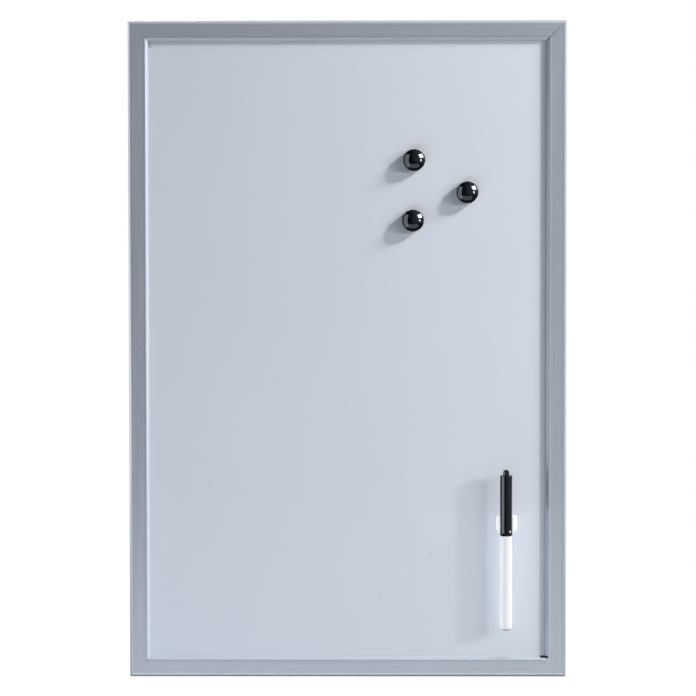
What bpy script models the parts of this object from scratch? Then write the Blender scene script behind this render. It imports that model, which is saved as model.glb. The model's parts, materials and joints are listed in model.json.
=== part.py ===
"""A magnetic whiteboard in a mitred frame, with three button magnets and a marker in a magnetic clip.

Metres, +Z up. The wall is the plane y = 0, the writing side faces -Y, and the origin is the board's
centre on the wall. Every size below can be changed by itself: what touches it follows.
"""

import math

import bmesh
import bpy
from mathutils import Vector

# Board
BOARD_WIDTH = 0.400
BOARD_HEIGHT = 0.600

# Clearances
SEAT_GAP = 0.0003
EDGE_CLEARANCE = 0.0005
WALL_CLEARANCE = 0.0002
CUT_OVERRUN = 0.001

# Rail section: widths run inwards from the outer edge, depths run back from the front face
FACE_WIDTH = 0.016
BEVEL_WIDTH = 0.0025
BEVEL_DEPTH = 0.0022
LIP_THICKNESS = 0.0032
LIP_COVER = 0.0057
ARRIS_RADIUS = 0.003
REAR_RECESS = 0.003

# Panel, from the front
SHEET_THICKNESS = 0.0004
CORE_THICKNESS = 0.005
BACK_THICKNESS = 0.0025

# V-nails across the mitres
V_NAIL_INSET = 0.004
V_NAIL_LEG = 0.0065
V_NAIL_STRIP = 0.0008
V_NAIL_HEIGHT = 0.008
V_NAIL_SINK = 0.0005

# Framer's points
POINT_LENGTH = 0.014
POINT_WIDTH = 0.008
POINT_THICKNESS = 0.0006
POINT_EMBED = 0.006
POINT_TIP = 0.003
LONG_SIDE_POINT_SHARES = (-0.42, -0.15, 0.15, 0.42)
SHORT_SIDE_POINT_SHARES = (-0.2, 0.2)

# Keyhole hangers and their nails
HANGER_LENGTH = 0.032
HANGER_THICKNESS = 0.0012
HANGER_MARGIN = 0.001
HANGER_CORNER = 0.002
HANGER_RIM = 0.003
ENTRY_RADIUS = 0.00425
SLOT_RADIUS = 0.0023
SLOT_LENGTH = 0.0075
SLOT_INSET = 0.005
HANGER_PLACE_SHARES = (-0.66, 0.66)
NAIL_SPACING = 0.023
NAIL_LENGTH = 0.0095
NAIL_RADIUS = 0.0008
NAIL_HEAD_RADIUS = 0.0018
NAIL_HEAD_HEIGHT = 0.0008
NAIL_TIP = 0.0016

# Wall pads
PAD_RADIUS = 0.005
PAD_CHAMFER = 0.0004

# Button magnets, places as shares of the half width and half height that the frame leaves open
MAGNET_RADIUS = 0.010
MAGNET_SIDE_HEIGHT = 0.0048
MAGNET_DOME_HEIGHT = 0.0045
MAGNET_RIM_RADIUS = 0.0004
MAGNET_WALL = 0.0013
DISC_HEIGHT = 0.0042
DISC_CHAMFER = 0.0004
MAGNET_PLACE_SHARES = ((0.3352, 0.6142), (0.6022, 0.5099), (0.3293, 0.4189))

# Pen clip, placed the same way. Its base sits a little to the right of the pen's axis.
CLIP_PLACE_SHARES = (0.8019, -0.5627)
CLIP_BASE_SHIFT = 0.0015
CLIP_WIDTH = 0.0190
CLIP_HEIGHT = 0.0140
CLIP_CORNER = 0.0012
CLIP_BASE = 0.002
CLIP_NECK_WIDTH = 0.006
CLIP_NECK_HEIGHT = 0.0015
CLIP_WALL = 0.0016
CLIP_WRAP_DEGREES = 10
CLIP_MAGNET_MARGIN = 0.0008
CLIP_MAGNET_THICKNESS = 0.0015

# Marker, heights run along the pen from the cap's mouth
CAP_BELOW_CLIP = 0.0006
CAP_RADIUS = 0.00555
CAP_LENGTH = 0.0526
CAP_WALL = 0.0009
CAP_ROOF = 0.0015
CAP_SHOULDER = 0.0008
CAP_NUB_RADIUS = 0.0028
CAP_NUB_HEIGHT = 0.005
CAP_NUB_ROUND = 0.0016
CAP_BEAD_HEIGHT = 0.0018
CAP_BEAD_RISE = 0.00012
DIMPLE_RADIUS = 0.0013
DIMPLE_DEPTH = 0.0006
DIMPLE_ABOVE_MOUTH = 0.0034
DIMPLE_TURN_DEGREES = 36
COLLAR_RADIUS = 0.0052
COLLAR_HEIGHT = 0.0015
SHANK_LENGTH = 0.0145
NOSE_LENGTH = 0.008
NOSE_RADIUS = 0.003
SPIGOT_LENGTH = 0.012
NIB_RADIUS = 0.00205
NIB_PROUD = 0.005
NIB_TIP_RADIUS = 0.0008
NIB_TIP_LENGTH = 0.0018
NIB_SEAT_DEPTH = 0.006
RESERVOIR_RADIUS = 0.004
BARREL_RADIUS = 0.0055
BARREL_LENGTH = 0.0848
BARREL_WALL = 0.001
BARREL_FOOT = 0.0008
PLUG_INSERT = 0.008
PLUG_PROUD = 0.0022

# Facets
ARC_STEPS = 6
FINE_SEGMENTS = 40
COARSE_SEGMENTS = 20
SHARP_DEGREES = 32
MERGE_DISTANCE = 0.000001

# Finishes: colour, roughness, metallic
FINISHES = {
    "silver_foil": ((0.36, 0.40, 0.45), 0.45, 0.6),
    "white_lacquer": ((0.60, 0.66, 0.74), 0.25, 0.0),
    "core_board": ((0.55, 0.47, 0.36), 0.9, 0.0),
    "hardboard": ((0.30, 0.19, 0.11), 0.75, 0.0),
    "zinc_steel": ((0.60, 0.60, 0.58), 0.35, 1.0),
    "pad_foam": ((0.10, 0.10, 0.10), 0.95, 0.0),
    "gloss_black": ((0.012, 0.013, 0.015), 0.08, 0.0),
    "satin_black": ((0.014, 0.015, 0.017), 0.35, 0.0),
    "ferrite": ((0.05, 0.05, 0.055), 0.6, 0.0),
    "flexible_magnet": ((0.06, 0.045, 0.04), 0.85, 0.0),
    "white_plastic": ((0.83, 0.85, 0.88), 0.3, 0.0),
    "plug_grey": ((0.35, 0.36, 0.38), 0.4, 0.0),
    "felt": ((0.02, 0.02, 0.025), 0.95, 0.0),
    "reservoir_fibre": ((0.7, 0.7, 0.68), 0.9, 0.0),
}

# Widths of the rail, inwards from the board's outer edge
sight_width = FACE_WIDTH + BEVEL_WIDTH
rebate_wall = sight_width - LIP_COVER
mitre_shift = SEAT_GAP / 2 * math.sqrt(2)

# Depths, from the wall forwards
pad_thickness = HANGER_THICKNESS + SEAT_GAP + NAIL_HEAD_HEIGHT + WALL_CLEARANCE
rear_y = -(pad_thickness + SEAT_GAP)
back_rear_y = rear_y - REAR_RECESS
back_front_y = back_rear_y - BACK_THICKNESS
core_rear_y = back_front_y - SEAT_GAP
core_front_y = core_rear_y - CORE_THICKNESS
sheet_rear_y = core_front_y - SEAT_GAP
sheet_front_y = sheet_rear_y - SHEET_THICKNESS
lip_rear_y = sheet_front_y - SEAT_GAP
front_y = lip_rear_y - LIP_THICKNESS
seat_y = sheet_front_y - SEAT_GAP

# Pen clip
grip_radius = CAP_RADIUS + SEAT_GAP
clip_radius = grip_radius + CLIP_WALL
clip_base_front = clip_radius + CLIP_NECK_HEIGHT
clip_base_rear = clip_base_front + CLIP_BASE
clip_magnet_y = seat_y - CLIP_MAGNET_THICKNESS
pen_y = clip_magnet_y - SEAT_GAP - clip_base_rear

# Marker
cap_bore = CAP_RADIUS - CAP_WALL
shank_radius = cap_bore - SEAT_GAP
barrel_bore = BARREL_RADIUS - BARREL_WALL
spigot_radius = barrel_bore - SEAT_GAP
nib_bore = NIB_RADIUS + SEAT_GAP
collar_top = -SEAT_GAP
collar_bottom = collar_top - COLLAR_HEIGHT
barrel_top = collar_bottom - SEAT_GAP
barrel_bottom = barrel_top - BARREL_LENGTH
spigot_bottom = collar_bottom - SPIGOT_LENGTH
plug_top = barrel_bottom + PLUG_INSERT
plug_bottom = barrel_bottom - PLUG_PROUD
nose_top = collar_top + SHANK_LENGTH + NOSE_LENGTH
nib_top = nose_top + NIB_PROUD
nib_bottom = spigot_bottom - SEAT_GAP - NIB_SEAT_DEPTH


def clear_scene():
    for old in list(bpy.data.objects):
        bpy.data.objects.remove(old, do_unlink=True)


def arc(centre, radius, start, end, steps=ARC_STEPS):
    """Points on an arc from one angle to another, in degrees, both ends included."""
    turns = [math.radians(start + (end - start) * step / steps) for step in range(steps + 1)]
    return [(centre[0] + radius * math.cos(t), centre[1] + radius * math.sin(t)) for t in turns]


def polar(radius, degrees):
    turn_angle = math.radians(degrees)
    return radius * math.cos(turn_angle), radius * math.sin(turn_angle)


def rectangle(half_width, half_height):
    return [(-half_width, -half_height), (half_width, -half_height), (half_width, half_height),
            (-half_width, half_height)]


def extrude(bm, corners, travel):
    """Fills a closed outline and extrudes it by one vector."""
    face = bm.faces.new([bm.verts.new(corner) for corner in corners])
    grown = bmesh.ops.extrude_face_region(bm, geom=[face])["geom"]
    moved = [item for item in grown if isinstance(item, bmesh.types.BMVert)]
    bmesh.ops.translate(bm, verts=moved, vec=travel)
    return moved


def slab(bm, outline, front, rear):
    """Extrudes an outline of (x, z) pairs from its front plane to its rear plane."""
    extrude(bm, [Vector((x, front, z)) for x, z in outline], Vector((0, rear - front, 0)))


def rod(bm, centre, radius, front, rear):
    """A round bar along Y."""
    around = arc(centre, radius, 0, 360, COARSE_SEGMENTS)[:-1]
    slab(bm, around, front, rear)


def turn(bm, profile, segments):
    """Spins (radius, height) pairs round Z. A profile that stays off the axis closes on itself."""
    verts = [bm.verts.new((radius, 0, height)) for radius, height in profile]
    ends = list(zip(verts, verts[1:]))
    if profile[0][0] or profile[-1][0]:
        ends.append((verts[-1], verts[0]))
    edges = [bm.edges.new(pair) for pair in ends]
    bmesh.ops.spin(bm, geom=verts + edges, cent=(0, 0, 0), axis=(0, 0, 1),
                   angle=math.tau, steps=segments, use_merge=True)
    bmesh.ops.remove_doubles(bm, verts=bm.verts[:], dist=MERGE_DISTANCE)


def finish_material(name, finish):
    colour, roughness, metallic = FINISHES[finish]
    material = bpy.data.materials.new(name)
    material.use_nodes = True
    shader = material.node_tree.nodes["Principled BSDF"]
    shader.inputs["Base Color"].default_value = (*colour, 1)
    shader.inputs["Roughness"].default_value = roughness
    shader.inputs["Metallic"].default_value = metallic
    return material


def add_piece(name, bm, finish=None, place=(0, 0, 0), turned=(0, 0, 0), parent=None, smooth=False):
    """Makes an object of a bmesh, with its faces outwards."""
    bmesh.ops.recalc_face_normals(bm, faces=bm.faces[:])
    mesh = bpy.data.meshes.new(name)
    bm.to_mesh(mesh)
    bm.free()
    if smooth:
        mesh.shade_smooth()
        mesh.set_sharp_from_angle(angle=math.radians(SHARP_DEGREES))
    piece = bpy.data.objects.new(name, mesh)
    bpy.context.scene.collection.objects.link(piece)
    piece.location = place
    piece.rotation_euler = turned
    piece.parent = parent
    if finish:
        mesh.materials.append(finish_material(name, finish))
    return piece


def cut(piece, cutter):
    """Takes the cutter out of the piece and hides the cutter."""
    cutter.hide_render = True
    cutter.display_type = "WIRE"
    hollow = piece.modifiers.new(cutter.name, "BOOLEAN")
    hollow.operation = "DIFFERENCE"
    hollow.solver = "EXACT"
    hollow.object = cutter


def add_empty(name, place=(0, 0, 0), turned=(0, 0, 0)):
    empty = bpy.data.objects.new(name, None)
    bpy.context.scene.collection.objects.link(empty)
    empty.location = place
    empty.rotation_euler = turned
    return empty


def rail_section():
    """The rail's section as (distance in from the outer edge, y) pairs."""
    arris = arc((ARRIS_RADIUS, front_y + ARRIS_RADIUS), ARRIS_RADIUS, 180, 270)
    return [
        (0, rear_y),
        *arris,
        (FACE_WIDTH, front_y),
        (sight_width, front_y + BEVEL_DEPTH),
        (sight_width, lip_rear_y),
        (rebate_wall, lip_rear_y),
        (rebate_wall, rear_y),
    ]


def rail_body(length, across):
    """A rail along X with its outer edge up, mitred at both ends."""
    bm = bmesh.new()
    ends = [
        Vector((inset + mitre_shift - length / 2, y, across / 2 - inset))
        for inset, y in rail_section()
    ]
    far = extrude(bm, ends, Vector((0, 0, 0)))
    for vert in far:
        vert.co.x = -vert.co.x
    return bm


def v_nail_outline(half_length, half_across, grow=0):
    """An L of steel strip round one corner, with its legs along the two rails."""
    outer = V_NAIL_INSET - grow
    inner = V_NAIL_INSET + V_NAIL_STRIP + grow
    tip = V_NAIL_INSET + V_NAIL_LEG + grow
    shape = ((outer, outer), (tip, outer), (tip, inner), (inner, inner), (inner, tip), (outer, tip))
    return [(math.copysign(abs(half_length) - p, half_length),
             math.copysign(abs(half_across) - q, half_across)) for p, q in shape]


def point_outline(x, wall):
    """A framer's point at x, driven outwards into the rebate wall at height wall."""
    half = POINT_WIDTH / 2
    tip = wall + POINT_EMBED
    inner = tip - POINT_LENGTH
    return [(x - half, inner), (x + half, inner), (x + half, tip - POINT_TIP), (x, tip),
            (x - half, tip - POINT_TIP)]


def rail_cuts(length, across, point_places, nail_places):
    """What is cut from a rail: V-nail pockets, slots for the points and holes for the nails."""
    bm = bmesh.new()
    wall = across / 2 - rebate_wall
    nail_line = across / 2 - rebate_wall / 2
    for side in (-1, 1):
        pocket = v_nail_outline(side * length / 2, across / 2, SEAT_GAP)
        slab(bm, pocket, rear_y - V_NAIL_SINK - V_NAIL_HEIGHT - SEAT_GAP, rear_y + CUT_OVERRUN)
    for x in point_places:
        half = POINT_WIDTH / 2 + SEAT_GAP
        deep = wall + POINT_EMBED + SEAT_GAP
        mouth = wall - CUT_OVERRUN
        slot = [(x - half, mouth), (x + half, mouth), (x + half, deep), (x - half, deep)]
        slab(bm, slot, back_rear_y, back_rear_y + SEAT_GAP + POINT_THICKNESS + SEAT_GAP)
    for x in nail_places:
        drilled = rear_y - NAIL_LENGTH
        rod(bm, (x, nail_line), NAIL_RADIUS + SEAT_GAP, drilled, rear_y + CUT_OVERRUN)
    return bm


def hanger_outline(x, across):
    """A plate on the rail with a round-ended tongue that reaches inwards over the recess."""
    half = HANGER_LENGTH / 2 - HANGER_CORNER
    tongue = ENTRY_RADIUS + HANGER_RIM
    top = across / 2 - HANGER_MARGIN - HANGER_CORNER
    foot = across / 2 - rebate_wall + HANGER_MARGIN
    entry = entry_height(across)
    return [
        *arc((x + half, top), HANGER_CORNER, 0, 90),
        *arc((x - half, top), HANGER_CORNER, 90, 180),
        *arc((x - half, foot + HANGER_CORNER), HANGER_CORNER, 180, 270),
        (x - tongue, foot),
        *arc((x, entry), tongue, 180, 360, 2 * ARC_STEPS),
        (x + tongue, foot),
        *arc((x + half, foot + HANGER_CORNER), HANGER_CORNER, 270, 360),
    ]


def entry_height(across):
    return across / 2 - rebate_wall - SLOT_INSET - SLOT_LENGTH


def keyhole_outline(x, across):
    """A round entry that a screw head passes, and a slot outwards for its shank."""
    entry = entry_height(across)
    mouth = math.degrees(math.asin(SLOT_RADIUS / ENTRY_RADIUS))
    return [
        *arc((x, entry), ENTRY_RADIUS, 90 + mouth, 450 - mouth, 3 * ARC_STEPS),
        *arc((x, entry + SLOT_LENGTH), SLOT_RADIUS, 0, 180, 2 * ARC_STEPS),
    ]


def add_hanger(number, x, across, side):
    """One keyhole hanger with its two nails, on the rail that side turns."""
    hanger_front = rear_y + SEAT_GAP
    hanger_rear = hanger_front + HANGER_THICKNESS
    nail_line = across / 2 - rebate_wall / 2
    nail_places = [x - NAIL_SPACING / 2, x + NAIL_SPACING / 2]
    bm = bmesh.new()
    slab(bm, hanger_outline(x, across), hanger_front, hanger_rear)
    hanger = add_piece(f"hanger_{number}", bm, "zinc_steel", parent=side)
    bm = bmesh.new()
    slab(bm, keyhole_outline(x, across), hanger_front - CUT_OVERRUN, hanger_rear + CUT_OVERRUN)
    for place in nail_places:
        rod(bm, (place, nail_line), NAIL_RADIUS + SEAT_GAP, hanger_front - CUT_OVERRUN,
            hanger_rear + CUT_OVERRUN)
    cut(hanger, add_piece(f"hanger_{number}_holes", bm, parent=side))
    profile = [
        (0, NAIL_HEAD_HEIGHT),
        (NAIL_HEAD_RADIUS - NAIL_HEAD_HEIGHT / 2, NAIL_HEAD_HEIGHT),
        (NAIL_HEAD_RADIUS, NAIL_HEAD_HEIGHT / 2),
        (NAIL_HEAD_RADIUS, 0),
        (NAIL_RADIUS, 0),
        (NAIL_RADIUS, NAIL_TIP - NAIL_LENGTH),
        (0, -NAIL_LENGTH),
    ]
    for count, place in enumerate(nail_places):
        bm = bmesh.new()
        turn(bm, profile, COARSE_SEGMENTS)
        add_piece(f"hanger_nail_{2 * number - 1 + count}", bm, "zinc_steel",
                  (place, hanger_rear + SEAT_GAP, nail_line), (-math.pi / 2, 0, 0), side, True)


def add_frame():
    """The four rails, each built as a top rail and turned to its side, with what is fixed to it."""
    long_points = [BOARD_HEIGHT * share for share in LONG_SIDE_POINT_SHARES]
    short_points = [BOARD_WIDTH * share for share in SHORT_SIDE_POINT_SHARES]
    hung = {
        "top_rail": [BOARD_WIDTH / 2 * share for share in HANGER_PLACE_SHARES],
        "left_stile": [BOARD_HEIGHT / 2 * share for share in HANGER_PLACE_SHARES],
    }
    sides = (
        ("top_rail", BOARD_WIDTH, BOARD_HEIGHT, 0, short_points),
        ("right_stile", BOARD_HEIGHT, BOARD_WIDTH, 90, long_points),
        ("bottom_rail", BOARD_WIDTH, BOARD_HEIGHT, 180, short_points),
        ("left_stile", BOARD_HEIGHT, BOARD_WIDTH, 270, long_points),
    )
    point_number = 0
    hanger_number = 0
    for name, length, across, degrees, points in sides:
        side = add_empty(f"{name}_side", turned=(0, math.radians(degrees), 0))
        rail = add_piece(name, rail_body(length, across), "silver_foil", parent=side)
        nails = [x + step for x in hung.get(name, ()) for step in (-NAIL_SPACING / 2, NAIL_SPACING / 2)]
        cuts = rail_cuts(length, across, points, nails)
        cut(rail, add_piece(f"{name}_cuts", cuts, parent=side))
        for x in points:
            point_number += 1
            bm = bmesh.new()
            point_front = back_rear_y + SEAT_GAP
            slab(bm, point_outline(x, across / 2 - rebate_wall), point_front, point_front + POINT_THICKNESS)
            add_piece(f"panel_point_{point_number}", bm, "zinc_steel", parent=side)
        for x in hung.get(name, ()):
            hanger_number += 1
            add_hanger(hanger_number, x, across, side)


def add_corners():
    """A V-nail across each mitre and a pad behind it."""
    corners = ((1, 1), (1, -1), (-1, -1), (-1, 1))
    for number, (right, up) in enumerate(corners, 1):
        half_width = right * BOARD_WIDTH / 2
        half_height = up * BOARD_HEIGHT / 2
        bm = bmesh.new()
        sunk = rear_y - V_NAIL_SINK
        slab(bm, v_nail_outline(half_width, half_height), sunk - V_NAIL_HEIGHT, sunk)
        add_piece(f"corner_nail_{number}", bm, "zinc_steel")
        profile = [
            (0, 0),
            (PAD_RADIUS - PAD_CHAMFER, 0),
            (PAD_RADIUS, -PAD_CHAMFER),
            (PAD_RADIUS, -pad_thickness),
            (0, -pad_thickness),
        ]
        bm = bmesh.new()
        turn(bm, profile, COARSE_SEGMENTS)
        place = (half_width - right * rebate_wall / 2, 0, half_height - up * rebate_wall / 2)
        add_piece(f"wall_pad_{number}", bm, "pad_foam", place, (-math.pi / 2, 0, 0), smooth=True)


def add_panel():
    """The writing sheet, its core and the board that closes the back."""
    half_width = BOARD_WIDTH / 2 - rebate_wall - EDGE_CLEARANCE
    half_height = BOARD_HEIGHT / 2 - rebate_wall - EDGE_CLEARANCE
    layers = (
        ("steel_sheet", "white_lacquer", sheet_front_y, sheet_rear_y),
        ("core_panel", "core_board", core_front_y, core_rear_y),
        ("back_panel", "hardboard", back_front_y, back_rear_y),
    )
    for name, finish, front, rear in layers:
        bm = bmesh.new()
        slab(bm, rectangle(half_width, half_height), front, rear)
        add_piece(name, bm, finish)


def sheet_place(shares):
    """A place on the open sheet, from shares of its half width and half height."""
    return ((BOARD_WIDTH / 2 - sight_width) * shares[0], (BOARD_HEIGHT / 2 - sight_width) * shares[1])


def add_magnets():
    """Domed caps on ferrite discs. Heights run outwards from the sheet."""
    dome_radius = (MAGNET_RADIUS ** 2 + MAGNET_DOME_HEIGHT ** 2) / (2 * MAGNET_DOME_HEIGHT)
    dome_turn = math.degrees(math.asin(MAGNET_RADIUS / dome_radius))
    top = MAGNET_SIDE_HEIGHT + MAGNET_DOME_HEIGHT
    dome = arc((0, top - dome_radius), dome_radius, 90, 90 - dome_turn, 2 * ARC_STEPS)
    disc_radius = MAGNET_RADIUS - MAGNET_WALL - SEAT_GAP
    cap_profile = [
        (0, top),
        *dome[1:],
        (MAGNET_RADIUS, MAGNET_RIM_RADIUS),
        (MAGNET_RADIUS - MAGNET_RIM_RADIUS, 0),
        (MAGNET_RADIUS - MAGNET_WALL, 0),
        (MAGNET_RADIUS - MAGNET_WALL, DISC_HEIGHT + SEAT_GAP),
        (0, DISC_HEIGHT + SEAT_GAP),
    ]
    disc_profile = [
        (0, DISC_HEIGHT),
        (disc_radius - DISC_CHAMFER, DISC_HEIGHT),
        (disc_radius, DISC_HEIGHT - DISC_CHAMFER),
        (disc_radius, DISC_CHAMFER),
        (disc_radius - DISC_CHAMFER, 0),
        (0, 0),
    ]
    for number, shares in enumerate(MAGNET_PLACE_SHARES, 1):
        x, z = sheet_place(shares)
        seat = add_empty(f"magnet_{number}", (x, seat_y, z), (math.pi / 2, 0, 0))
        bm = bmesh.new()
        turn(bm, cap_profile, FINE_SEGMENTS)
        add_piece(f"magnet_{number}_cap", bm, "gloss_black", parent=seat, smooth=True)
        bm = bmesh.new()
        turn(bm, disc_profile, FINE_SEGMENTS)
        add_piece(f"magnet_{number}_disc", bm, "ferrite", parent=seat, smooth=True)


def clip_outline():
    """The clip seen along the pen: two fingers, a neck and a flat base, round the pen's axis."""
    tip = CLIP_WALL / 2
    mid_wall = grip_radius + tip
    left_turn = 180 + CLIP_WRAP_DEGREES
    right_turn = -CLIP_WRAP_DEGREES
    neck = CLIP_NECK_WIDTH / 2
    neck_turn = math.degrees(math.acos(neck / clip_radius))
    base_left = CLIP_BASE_SHIFT - CLIP_WIDTH / 2
    base_right = CLIP_BASE_SHIFT + CLIP_WIDTH / 2
    return [
        *arc((0, 0), grip_radius, right_turn, left_turn, 4 * ARC_STEPS),
        *arc(polar(mid_wall, left_turn), tip, left_turn + 180, left_turn)[1:-1],
        *arc((0, 0), clip_radius, left_turn, 180 - neck_turn, ARC_STEPS),
        (-neck, clip_base_front),
        (base_left, clip_base_front),
        (base_left, clip_base_rear),
        (base_right, clip_base_rear),
        (base_right, clip_base_front),
        (neck, clip_base_front),
        *arc((0, 0), clip_radius, neck_turn, right_turn, ARC_STEPS),
        *arc(polar(mid_wall, right_turn), tip, right_turn, right_turn - 180)[1:-1],
    ]


def add_clip(grip):
    """The spring clip and the flat magnet under its base."""
    bm = bmesh.new()
    corners = [Vector((x, y, -CLIP_HEIGHT / 2)) for x, y in clip_outline()]
    extrude(bm, corners, Vector((0, 0, CLIP_HEIGHT)))
    edge_reach = CLIP_WIDTH / 2 - MERGE_DISTANCE
    base_corners = [
        edge for edge in bm.edges
        if all(abs(vert.co.x - CLIP_BASE_SHIFT) > edge_reach for vert in edge.verts)
        and abs(edge.verts[0].co.z - edge.verts[1].co.z) < MERGE_DISTANCE
    ]
    bmesh.ops.bevel(bm, geom=base_corners, offset=CLIP_CORNER, segments=ARC_STEPS // 2,
                    profile=0.5, affect="EDGES", material=-1)
    add_piece("pen_clip", bm, "white_plastic", parent=grip, smooth=True)
    half_width = CLIP_WIDTH / 2 - CLIP_MAGNET_MARGIN
    half_height = CLIP_HEIGHT / 2 - CLIP_MAGNET_MARGIN
    front = clip_base_rear + SEAT_GAP
    bm = bmesh.new()
    slab(bm, rectangle(half_width, half_height), front, front + CLIP_MAGNET_THICKNESS)
    bmesh.ops.translate(bm, verts=bm.verts[:], vec=(CLIP_BASE_SHIFT, 0, 0))
    add_piece("clip_magnet", bm, "flexible_magnet", parent=grip)


def turned_piece(name, profile, finish, parent, segments=FINE_SEGMENTS):
    bm = bmesh.new()
    turn(bm, profile, segments)
    return add_piece(name, bm, finish, parent=parent, smooth=True)


def add_cap(pen):
    """The cap: a nub, a rounded shoulder, a bead at the mouth, a deep bore and one small dimple."""
    bead = CAP_RADIUS + CAP_BEAD_RISE
    shoulder_centre = (CAP_RADIUS - CAP_SHOULDER, CAP_LENGTH - CAP_SHOULDER)
    nub_top = CAP_LENGTH + CAP_NUB_HEIGHT
    nub_centre = (CAP_NUB_RADIUS - CAP_NUB_ROUND, nub_top - CAP_NUB_ROUND)
    profile = [
        (0, nub_top),
        *arc(nub_centre, CAP_NUB_ROUND, 90, 0),
        (CAP_NUB_RADIUS, CAP_LENGTH),
        *arc(shoulder_centre, CAP_SHOULDER, 90, 0, ARC_STEPS // 2),
        (CAP_RADIUS, CAP_BEAD_HEIGHT + CAP_BEAD_RISE),
        (bead, CAP_BEAD_HEIGHT),
        (bead, 0),
        (cap_bore, 0),
        (cap_bore, CAP_LENGTH - CAP_ROOF),
        (0, CAP_LENGTH - CAP_ROOF),
    ]
    cap = turned_piece("pen_cap", profile, "satin_black", pen)
    bm = bmesh.new()
    bmesh.ops.create_uvsphere(bm, u_segments=COARSE_SEGMENTS, v_segments=COARSE_SEGMENTS // 2,
                              radius=DIMPLE_RADIUS)
    out = CAP_RADIUS + DIMPLE_RADIUS - DIMPLE_DEPTH
    x, y = polar(out, DIMPLE_TURN_DEGREES - 90)
    cut(cap, add_piece("pen_cap_dimple", bm, place=(x, y, DIMPLE_ABOVE_MOUTH), parent=pen))


def add_pen(pen):
    """What draws out of the cap: the section with its nib, the barrel, the reservoir and the plug."""
    section = [
        (nib_bore, nose_top),
        (NOSE_RADIUS, nose_top),
        (shank_radius, nose_top - NOSE_LENGTH),
        (shank_radius, collar_top),
        (COLLAR_RADIUS, collar_top),
        (COLLAR_RADIUS, collar_bottom),
        (spigot_radius, collar_bottom),
        (spigot_radius, spigot_bottom),
        (nib_bore, spigot_bottom),
    ]
    turned_piece("pen_section", section, "satin_black", pen)
    nib = [
        (0, nib_top),
        (NIB_TIP_RADIUS, nib_top),
        (NIB_RADIUS, nib_top - NIB_TIP_LENGTH),
        (NIB_RADIUS, nib_bottom),
        (0, nib_bottom),
    ]
    turned_piece("pen_nib", nib, "felt", pen, COARSE_SEGMENTS)
    reservoir = [
        (0, nib_bottom - SEAT_GAP),
        (nib_bore, nib_bottom - SEAT_GAP),
        (nib_bore, spigot_bottom - SEAT_GAP),
        (RESERVOIR_RADIUS, spigot_bottom - SEAT_GAP),
        (RESERVOIR_RADIUS, plug_top + SEAT_GAP),
        (0, plug_top + SEAT_GAP),
    ]
    turned_piece("pen_reservoir", reservoir, "reservoir_fibre", pen, COARSE_SEGMENTS)
    barrel = [
        (barrel_bore, barrel_top),
        (BARREL_RADIUS, barrel_top),
        *arc((BARREL_RADIUS - BARREL_FOOT, barrel_bottom + BARREL_FOOT), BARREL_FOOT, 0, -90,
             ARC_STEPS // 2),
        (barrel_bore, barrel_bottom),
    ]
    turned_piece("pen_barrel", barrel, "white_plastic", pen)
    dome = [(spigot_radius * x, barrel_bottom + PLUG_PROUD * z) for x, z in arc((0, 0), 1, 0, -90)]
    plug = [(0, plug_top), (spigot_radius, plug_top), *dome[:-1], (0, plug_bottom)]
    turned_piece("pen_end_plug", plug, "plug_grey", pen)


def main():
    clear_scene()
    add_frame()
    add_corners()
    add_panel()
    add_magnets()
    clip_x, clip_z = sheet_place(CLIP_PLACE_SHARES)
    pen_x = clip_x - CLIP_BASE_SHIFT
    mouth_z = clip_z - CLIP_HEIGHT / 2 - CAP_BELOW_CLIP
    add_clip(add_empty("clip_grip", (pen_x, pen_y, clip_z)))
    pen = add_empty("pen_axis", (pen_x, pen_y, mouth_z))
    add_cap(pen)
    add_pen(pen)


main()
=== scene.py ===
# %% [markdown]
# # A magnetic whiteboard, dressed for its photograph
#
# The board is portrait: a silver wrapped frame round a white lacquered steel sheet, three black button
# magnets, and a marker held in a small magnetic clip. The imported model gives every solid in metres, with
# the wall at y = 0 and the writing side towards -Y, so each piece here goes where its solid already is.

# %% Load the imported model
import json
import math

import bmesh
import bpy
from mathutils import Matrix, Vector


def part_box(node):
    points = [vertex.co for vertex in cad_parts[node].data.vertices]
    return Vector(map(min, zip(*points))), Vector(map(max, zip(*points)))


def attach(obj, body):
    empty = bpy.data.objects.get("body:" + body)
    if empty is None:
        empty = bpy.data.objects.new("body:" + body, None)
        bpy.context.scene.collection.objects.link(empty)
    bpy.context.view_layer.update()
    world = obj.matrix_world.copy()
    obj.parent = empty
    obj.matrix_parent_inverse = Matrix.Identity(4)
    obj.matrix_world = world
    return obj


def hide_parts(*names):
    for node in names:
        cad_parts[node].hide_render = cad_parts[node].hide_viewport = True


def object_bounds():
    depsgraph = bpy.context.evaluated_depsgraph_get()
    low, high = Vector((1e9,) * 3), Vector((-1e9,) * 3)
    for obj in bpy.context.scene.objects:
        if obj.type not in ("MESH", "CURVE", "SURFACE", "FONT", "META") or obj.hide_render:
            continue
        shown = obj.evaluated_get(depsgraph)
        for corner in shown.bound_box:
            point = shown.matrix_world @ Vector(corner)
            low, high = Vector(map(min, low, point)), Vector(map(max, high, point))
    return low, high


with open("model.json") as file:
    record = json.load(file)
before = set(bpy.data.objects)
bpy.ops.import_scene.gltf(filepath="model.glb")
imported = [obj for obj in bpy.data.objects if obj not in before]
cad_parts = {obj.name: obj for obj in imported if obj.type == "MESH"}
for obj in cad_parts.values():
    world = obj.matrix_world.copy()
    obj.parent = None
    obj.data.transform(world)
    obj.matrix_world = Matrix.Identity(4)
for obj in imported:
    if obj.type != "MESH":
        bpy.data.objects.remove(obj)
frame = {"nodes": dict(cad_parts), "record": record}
cad_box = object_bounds()
half_size = Vector((cad_box[1][0], 0, cad_box[1][2]))
body_of_node = {
    node: body
    for body, nodes in frame["record"]["behaviour"]["bodies"].items()
    for node in nodes
}
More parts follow.
